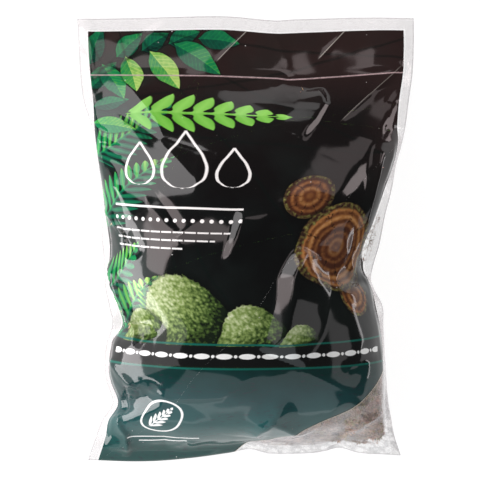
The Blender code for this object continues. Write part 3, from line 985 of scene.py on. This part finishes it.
def printed_film_material(sizes, flat):
    material, wire = new_material("printed_film")
    x, y = flat_places(wire, sizes.flat_width, flat.length)
    mm_length = flat.length / MM
    position = wire.node("ShaderNodeCombineXYZ", {0: x, 1: y})
    smoke = wire.node("ShaderNodeTexNoise", {"Vector": position, "Scale": 0.022, "Detail": 3.0})
    grain = wire.node("ShaderNodeTexNoise", {"Vector": position, "Scale": 0.35, "Detail": 2.0})
    color = print_color(wire, position, x, y, mm_length, smoke, grain)
    # The pale pink line along the weld bead is a painted highlight; the bump below shapes the bead
    # itself.
    seam = abs(y - flat.weld_line_y / MM).under(0.5, 0.5)
    color = mixed(wire, seam * (grain * 0.9 + 0.3), color, ink(198, 172, 174))
    for start, turn, reach, strength in CRACKS:
        along, side, _ = own_axes(position, start, turn, (reach, 1.0))
        line = abs(side).under(0.28, 0.4) * abs(along - 0.5).under(0.48, 0.08)
        color = mixed(wire, line * strength, color, ink(190, 186, 176))
    # Tiny pale specks over the print are painted glints on small bumps of the film.
    cells = wire.node("ShaderNodeTexVoronoi", {"Vector": position, "Scale": 0.11})
    chosen = wire.node("ShaderNodeSeparateColor", {0: cells.output("Color")})
    painted_glints = cells.under(0.045, 0.03) * chosen.over(0.84, 0.1)
    color = mixed(wire, painted_glints * 0.8, color, ink(226, 222, 220))
    edge = y - window_edge(wire, x)
    color = mixed(wire, edge.under(1.6, 0.4), color, ink(10, 16, 15))
    color = mixed(wire, edge.under(0.55, 0.2), color, ink(205, 198, 180))
    notch = ((y - 196.0) / 18.0) ** 2.0
    sliver = ((y - 84.0) / 24.0) ** 2.0
    cut_back = notch.under(0.6, 1.6) * 4.0 + sliver.under(0.6, 1.6) * 4.5
    side = 117.0 - cut_back * x.over(0.0, 1.0)
    covered = abs(x).under(side, 0.25) * y.under(mm_length - 9.7, 0.25) * edge.over(0.0, 0.3)
    bump = wire.node("ShaderNodeBump", {
        "Strength": 0.5, "Distance": 0.0006, "Height": seam})
    printed = wire.node("ShaderNodeBsdfPrincipled", {
        "Base Color": color, "Roughness": grain * 0.04 + 0.06, "Metallic": 0.0, "Normal": bump,
        "Specular IOR Level": 0.48})
    wrinkle_shade, wrinkles = film_wrinkle_shade(wire, x, y, mm_length)
    # Painted shade also in the wrinkles of the clear window below the print.
    wrinkle_shade = wrinkle_shade.either(edge.under(0.0, 6.0) * wrinkles.under(0.06, 0.12))
    sealed = film_seal(x, y, mm_length)
    clear = clear_film(wire, sealed.scaled(0.05, 0.03), welded_place(x, y, flat), wrinkle_shade, sealed)
    finish_material(wire, wire.node("ShaderNodeMixShader", {0: covered, 1: clear, 2: printed}))
    return material


def clear_film_material(sizes, flat):
    material, wire = new_material("clear_film")
    x, y = flat_places(wire, sizes.flat_width, flat.length)
    length = flat.length / MM
    wrinkle_shade = film_wrinkle_shade(wire, x, y, length)[0]
    sealed = film_seal(x, y, length)
    finish_material(wire, clear_film(
        wire, sealed.scaled(0.05, 0.03), welded_place(x, y, flat), wrinkle_shade, sealed))
    return material


def moss_material(look):
    material, wire = new_material("dried_moss")
    tint = wire.node("ShaderNodeAttribute", attribute_name="tint", output="Fac")
    place = wire.node("ShaderNodeTexCoord", output="Object")
    patch = wire.node("ShaderNodeTexNoise", {"Vector": place, "Scale": 45.0, "Detail": 3.0})
    fine = wire.node("ShaderNodeTexNoise", {"Vector": place, "Scale": 900.0, "Detail": 2.0})
    amount = tint * 0.85 + patch * 0.9 - 0.36
    color = wire.node("ShaderNodeValToRGB", {0: amount}, stops=(
        (0.08, tuple(look.twig)), (0.3, tuple(look.olive)), (0.55, tuple(look.rose)),
        (0.8, tuple(look.straw))))
    color = mixed(wire, fine.over(0.6, 0.3) * 0.4, color, tuple(look.twig))
    bump = wire.node("ShaderNodeBump", {"Strength": 0.6, "Distance": 0.0006, "Height": fine})
    finish_material(wire, wire.node("ShaderNodeBsdfPrincipled", {
        "Base Color": color, "Roughness": fine * 0.2 + 0.75, "Metallic": 0.0, "Normal": bump}))
    return material


class POUCH_OT_film(bpy.types.Operator):
    """Lay the two sheets of film and print the front one"""

    bl_idname = "pouch.film"
    bl_label = "Film sheets"

    def execute(self, context):
        sizes = context.scene.pouch_sizes
        lay_sheets(sizes)
        flat = Sheets.flat
        places = np.stack([Sheets.x / flat.width + 0.5, Sheets.y / flat.length], -1)
        for name, points, node, slot, material, offset in (
                ("printed_front", Sheets.front, "front_film", "printed_film",
                 printed_film_material(sizes, flat), 1.0),
                ("clear_back", Sheets.back, "back_film", "clear_film",
                 clear_film_material(sizes, flat), -1.0)):
            piece = add_object(name, grid_mesh(name, points, flat_places=places), material)
            solid = piece.modifiers.new("film", "SOLIDIFY")
            solid.thickness = sizes.film
            solid.offset = offset
            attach(piece, BODY)
            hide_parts(node)
        return {"FINISHED"}


def sheet_spots(grid, x, y):
    """Values of a sheet's grid at places on the flat sheet, in metres."""
    rows, columns = grid.shape[:2]
    i = np.clip(np.interp(y, Sheets.y[:, 0], np.arange(rows)), 0, rows - 1.001)
    j = np.clip(np.interp(x, Sheets.x[0], np.arange(columns)), 0, columns - 1.001)
    a, b = i.astype(int), j.astype(int)
    s, t = (i - a)[..., None], (j - b)[..., None]
    low = grid[a, b] * (1 - t) + grid[a, b + 1] * t
    return low * (1 - s) + (grid[a + 1, b] * (1 - t) + grid[a + 1, b + 1] * t) * s


def moss_reach(y):
    """How far the moss reaches left and right of the middle line at heights on the flat sheet."""
    flat = Sheets.flat
    full = flat.width / 2 - MARGIN - 0.8 * MM
    ragged = 1.6 * MM * soft_noise(y / MM, y / MM * 0, 7.0, 90)
    top = np.clip((flat.weld_line_y - 14 * MM - y) / (26 * MM), 0.1, 1) ** 0.4
    corner = 98 * MM + (y - 7 * MM) * 0.62 + 3 * ragged
    left_corner = 100 * MM + (y - 7 * MM) * 1.2 + 2 * ragged
    return -np.minimum(full, left_corner) * top, np.minimum(full, corner) * top


def clump_mesh(depth):
    """The closed body of the clump: the room between the sheets, drawn in and made lumpy."""
    flat = Sheets.flat
    across = np.linspace(0, 1, 78)
    up = np.linspace(flat.fill_bottom_y + 5 * MM, flat.weld_line_y - 20 * MM, 112)
    left, right = moss_reach(up)
    inset = 4 * MM
    x = (left + inset)[:, None] + (right - left - 2 * inset)[:, None] * across[None, :]
    y = np.repeat(up[:, None], len(across), 1)
    faces = []
    for points, seed, side in ((Sheets.front, 41, -1), (Sheets.back, 47, 1)):
        inward = sheet_spots(normals_of(points), x, y) * side
        rough = 0.5 + 0.35 * soft_noise(x / MM, y / MM, 6.0, seed) \
            + 0.5 * soft_noise(x / MM, y / MM, 3.2, seed + 1)
        spots = sheet_spots(points, x, y)
        faces.append(spots + inward * (depth + 1.8 * MM * rough)[..., None])
    high, low = faces
    middle = (high + low) / 2
    thin = np.clip((np.linalg.norm(sheet_spots(Sheets.front - Sheets.back, x, y), axis=-1) - 2.5 * depth) / (2 * depth), 0.02, 1)
    high = middle + (high - middle) * thin[..., None]
    low = middle + (low - middle) * thin[..., None]
    count_rows, count_columns = high.shape[:2]
    index = np.arange(high.shape[0] * high.shape[1]).reshape(count_rows, count_columns)
    size = index.size
    quads = np.stack([index[:-1, :-1], index[:-1, 1:], index[1:, 1:], index[1:, :-1]], -1)
    quads = quads.reshape(-1, 4)
    rim = np.concatenate([index[0, :], index[1:, -1], index[-1, -2::-1], index[-2::-1, 0]])
    walls = [(b, a, a + size, b + size) for a, b in zip(rim[:-1].tolist(), rim[1:].tolist())]
    mesh = bpy.data.meshes.new("moss_clump")
    mesh.from_pydata(np.concatenate([high.reshape(-1, 3), low.reshape(-1, 3)]).tolist(), [],
                     quads.tolist() + (quads[:, ::-1] + size).tolist() + walls)
    mesh.shade_smooth()
    return mesh


def paint_tint(mesh, tints):
    layer = mesh.attributes.new("tint", "FLOAT", "POINT")
    layer.data.foreach_set("value", tints.astype(np.float32))


def strand_mesh(name, points, side, count, look, seed, visible):
    """Leafy strands that wander just inside a sheet, joined in one mesh."""
    random = np.random.RandomState(seed)
    inward = normals_of(points) * side
    flat = Sheets.flat
    steps, tries = 9, count * 12
    y0 = random.uniform(flat.fill_bottom_y + 1 * MM, flat.weld_line_y - 14 * MM, tries)
    left, right = moss_reach(y0)
    x0 = left + (right - left) * random.uniform(0, 1, tries)
    keep = visible(x0 / MM, y0 / MM, random.uniform(0, 1, tries))
    x, y = x0[keep][:count], y0[keep][:count]
    count = len(x)
    heading = random.uniform(0, 2 * math.pi, count)
    curl = random.normal(0, 0.22, count)
    stride = random.uniform(1.6, 4.2, count) * MM
    depth = random.uniform(1.3, 3.4, count) * MM
    stray = random.uniform(0, 1, count) < 0.1
    limit = flat.width / 2 - MARGIN - 1.0 * MM
    spots, normals = [], []
    tight = np.ones(count)
    for step in range(steps):
        wobble = depth + 0.3 * MM * np.sin(step * 1.3 + heading * 3)
        normal = sheet_spots(inward, x, y)
        room = np.linalg.norm(sheet_spots(Sheets.front - Sheets.back, x, y), axis=-1)
        wobble = np.minimum(wobble, 0.4 * room)
        tight = np.minimum(tight, room / (7 * MM))
        spots.append(sheet_spots(points, x, y) + normal * wobble[:, None])
        normals.append(normal)
        heading = heading + curl + random.normal(0, 0.25, count)
        y = np.clip(y + np.sin(heading) * stride, flat.fill_bottom_y + 2 * MM,
                    flat.weld_line_y - 12 * MM)
        left, right = moss_reach(y)
        spare = np.where(stray, -9 * MM, random.uniform(0, 3, count) * MM)
        pressed = 6 * MM * np.clip((24 * MM - np.abs(y - 196 * MM)) / (8 * MM), 0, 1)
        x = np.clip(x + np.cos(heading) * stride, np.maximum(left + spare, -limit),
                    np.minimum(right - spare, limit) + pressed)
    path, up = np.stack(spots, 1), np.stack(normals, 1)
    ahead = np.gradient(path, axis=1)
    ahead /= np.linalg.norm(ahead, axis=-1, keepdims=True) + 1e-9
    across = np.cross(up, ahead)
    across /= np.linalg.norm(across, axis=-1, keepdims=True) + 1e-9
    up = np.cross(ahead, across)
    taper = np.array([0.5, 1, 1, 1, 1, 0.9, 0.8, 0.6, 0.25])[None, :, None]
    tight = np.maximum(0.25, tight)[:, None]
    radius = random.uniform(0.5, 1.2, count)[:, None, None] * look.strand_width / 2 * taper
    radius = radius * tight[:, None]
    ring = [path + (across * math.cos(q) + up * math.sin(q)) * radius
            for q in (0.5 * math.pi, math.pi * 7 / 6, math.pi * 11 / 6)]
    stem = np.stack(ring, 2).reshape(-1, 3)
    base = (np.arange(count) * steps * 3)[:, None, None]
    segment = (np.arange(steps - 1) * 3)[None, :, None]
    sides = [np.stack([base + segment + k, base + segment + (k + 1) % 3,
                       base + segment + 3 + (k + 1) % 3, base + segment + 3 + k], -1)
             for k in range(3)]
    quads = np.concatenate([side_faces.reshape(-1, 4) for side_faces in sides])
    caps = np.concatenate([
        np.stack([base[:, 0, 0] + 2, base[:, 0, 0] + 1, base[:, 0, 0]], -1),
        np.stack([base[:, 0, 0] + steps * 3 - 3, base[:, 0, 0] + steps * 3 - 2,
                  base[:, 0, 0] + steps * 3 - 1], -1)])
    tints = [np.repeat(random.uniform(0, 1, count), steps * 3)]
    leaf_points, leaf_faces, leaf_tints = [], [], []
    total = len(stem)
    strand_tint = tints[0].reshape(count, -1)[:, 0]
    for place in range(1, steps):
        for hand in (-1, 1):
            root = path[:, place] + (path[:, place - 1] - path[:, place]) \
                * random.uniform(0, 1, count)[:, None]
            lean = random.uniform(0.5, 1.2, count)[:, None]
            outward = (ahead[:, place] * np.cos(lean) + across[:, place] * hand * np.sin(lean)
                       + up[:, place] * random.uniform(-0.05, 0.25, count)[:, None])
            long = look.leaf * tight * random.uniform(0.5, 1.1, count)[:, None]
            wide = 0.16 * long
            flank = np.cross(outward, up[:, place])
            corners = [root, root + outward * long * 0.45 + flank * wide,
                       root + outward * long * 0.45 - flank * wide,
                       root + outward * long * 0.5 + up[:, place] * wide * 0.7,
                       root + outward * long]
            leaf_points.append(np.stack(corners, 1).reshape(-1, 3))
            first = total + np.arange(count) * 5
            total += count * 5
            for a, b, c in ((0, 3, 1), (0, 2, 3), (4, 1, 3), (4, 3, 2), (0, 1, 2), (4, 2, 1)):
                leaf_faces.append(np.stack([first + a, first + b, first + c], -1))
            leaf_tints.append(np.repeat(
                np.clip(strand_tint + random.uniform(-0.15, 0.2, count), 0, 1), 5))
    vertices = np.concatenate([stem] + leaf_points)
    vertices[:, 2] = np.maximum(vertices[:, 2], 0.4 * MM)
    mesh = bpy.data.meshes.new(name)
    mesh.from_pydata(vertices.tolist(), [],
                     quads.tolist() + caps.tolist() + np.concatenate(leaf_faces).tolist())
    paint_tint(mesh, np.concatenate(tints + leaf_tints))
    return mesh


def front_shows(x, y, chance):
    """Where moss shows from the front: under the window and along the sides; sparse elsewhere."""
    window = y < 22 + (x + 5) * 0.8
    twigs = (x > 103) & (np.abs(y - 196) < 22)
    sides = np.abs(x) > 102
    return window | twigs | sides & (chance < 0.4) | (chance < 0.07)


def back_shows(x, y, chance):
    return chance < 1.1


class POUCH_OT_moss(bpy.types.Operator):
    """Fill the pouch with the clump of moss and its strands"""

    bl_idname = "pouch.moss"
    bl_label = "Moss"

    def execute(self, context):
        look = context.scene.pouch_moss
        if Sheets.front is None:
            raise RuntimeError("lay the film first")
        material = moss_material(look)
        clump = clump_mesh(2.2 * MM)
        # The clump is tinted toward the darker moss colours as painted shade for the depth between the
        # strands.
        paint_tint(clump, np.random.RandomState(3).uniform(0.0, 0.4, len(clump.vertices)))
        meshes = [("moss_clump", clump)]
        for name, points, side, seed, shows in (
                ("moss_strands_front", Sheets.front, -1, 61, front_shows),
                ("moss_strands_back", Sheets.back, 1, 67, back_shows)):
            meshes.append((name, strand_mesh(name, points, side, look.strands, look, seed, shows)))
        for name, mesh in meshes:
            piece = add_object(name, mesh, material)
            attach(piece, BODY)
            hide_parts("moss_fill")
        return {"FINISHED"}


def add_softbox(name, place, size, brightness, aim=(0.0, 0.0, 0.03), tint=(1.0, 0.96, 0.97)):
    """A rectangular lamp whose face has the given brightness, 1 for white paper in full light."""
    lamp = bpy.data.lights.new(name, "AREA")
    lamp.shape = "RECTANGLE"
    lamp.size, lamp.size_y = size
    lamp.energy = brightness * math.pi * size[0] * size[1]
    lamp.color = tint
    box = bpy.data.objects.new(name, lamp)
    bpy.context.scene.collection.objects.link(box)
    box.location = place
    box.rotation_euler = (Vector(aim) - Vector(place)).to_track_quat("-Z", "Y").to_euler()
    box.visible_camera = False


def floor_mesh(radius, curve, wall):
    """A round floor that curves up into a low wall."""
    profile = [(0.0, 0.0), (radius * 0.5, 0.0), (radius - curve, 0.0)]
    profile += [(radius - curve + curve * math.sin(a), curve - curve * math.cos(a))
                for a in (math.pi / 2 * k / 12 for k in range(1, 13))]
    profile.append((radius, wall))
    around = 96
    points = np.array([[(r * math.cos(a), r * math.sin(a), z)
                        for a in np.linspace(0, 2 * math.pi, around + 1)] for r, z in profile])
    return grid_mesh("studio_floor", points, flip=True)


class POUCH_OT_stage(bpy.types.Operator):
    """Set the floor, the lamps and the camera"""

    bl_idname = "pouch.stage"
    bl_label = "Stage"

    def execute(self, context):
        look = context.scene.pouch_stage
        material, wire = new_material("studio_floor")
        finish_material(wire, wire.node("ShaderNodeBsdfPrincipled", {
            "Base Color": tuple(look.floor), "Roughness": 0.9, "Metallic": 0.0,
            "Emission Color": (1.0, 1.0, 1.0), "Emission Strength": 0.93}))
        floor = add_object("studio_floor", floor_mesh(5.2, 0.14, 0.16), material)
        pink = (1.0, 0.86, 0.86)
        add_softbox("left_softbox", (-1.19, 0.74, 1.3), (1.0, 0.6), 3.8, tint=pink)
        add_softbox("low_left_softbox", (-1.6, -0.1, 0.8), (1.4, 1.7), 1.3)
        add_softbox("far_left_softbox", (-0.95, 1.35, 0.6), (1.3, 1.1), 3.6)
        add_softbox("left_strip", (-1.7, -0.4, 0.42), (2.0, 0.8), 7.0)
        add_softbox("far_right_softbox", (0.7, 1.5, 0.95), (0.5, 0.7), 1.1, tint=pink)
        add_softbox("far_right_strip", (1.27, 1.06, 0.52), (0.4, 0.85), 4.0, tint=pink)
        add_softbox("right_softbox", (1.3, -0.35, 0.9), (0.8, 0.6), 0.9)
        add_softbox("right_strip", (1.8, 0.2, 0.12), (1.2, 0.12), 5.0)
        add_softbox("header_softbox", (-0.46, 0.86, 1.4), (0.98, 0.4), 2.0, tint=pink)
        add_softbox("foot_softbox", (-0.1, -1.6, 0.95), (2.2, 2.2), 0.95,
                    tint=(0.9, 1.0, 1.04))
        world = bpy.data.worlds.new("studio")
        world.use_nodes = True
        background = world.node_tree.nodes["Background"]
        background.inputs["Color"].default_value = (0.1, 0.1, 0.1, 1.0)
        scene = context.scene
        scene.world = world
        scene.view_settings.view_transform = "Standard"
        camera_data = bpy.data.cameras.new("overhead")
        camera_data.sensor_width = 36.0
        seen = 480 * look.pixel
        reference = 0.024
        camera_data.lens = 36.0 * (look.lens_distance - reference) / seen
        camera_data.clip_end = 30.0
        camera = bpy.data.objects.new("overhead", camera_data)
        scene.collection.objects.link(camera)
        camera.location = (-5.5 * look.pixel, -1.2 * look.pixel, look.lens_distance)
        scene.camera = camera
        return {"FINISHED"}


class POUCH_PT_panel(bpy.types.Panel):
    """Sizes and steps of the moss bag"""

    bl_idname = "POUCH_PT_panel"
    bl_label = "Moss bag"
    bl_space_type = "VIEW_3D"
    bl_region_type = "UI"
    bl_category = "Moss bag"

    def draw(self, context):
        column = self.layout.column()
        for group in (context.scene.pouch_sizes, context.scene.pouch_moss,
                      context.scene.pouch_stage):
            for name in group.bl_rna.properties.keys():
                if name not in {"rna_type", "name"}:
                    column.prop(group, name)
        for operator in OPERATORS:
            column.operator(operator.bl_idname)


OPERATORS = (POUCH_OT_film, POUCH_OT_moss, POUCH_OT_stage)
CLASSES = (PouchSizes, PouchMoss, PouchStage, *OPERATORS, POUCH_PT_panel)


def register():
    for item in CLASSES:
        bpy.utils.register_class(item)
    bpy.types.Scene.pouch_sizes = bpy.props.PointerProperty(type=PouchSizes)
    bpy.types.Scene.pouch_moss = bpy.props.PointerProperty(type=PouchMoss)
    bpy.types.Scene.pouch_stage = bpy.props.PointerProperty(type=PouchStage)


def unregister():
    del bpy.types.Scene.pouch_sizes, bpy.types.Scene.pouch_moss, bpy.types.Scene.pouch_stage
    for item in reversed(CLASSES):
        bpy.utils.unregister_class(item)


def main():
    register()
    bpy.ops.pouch.film()
    bpy.ops.pouch.moss()
    bpy.ops.pouch.stage()


if __name__ == "__main__":
    main()
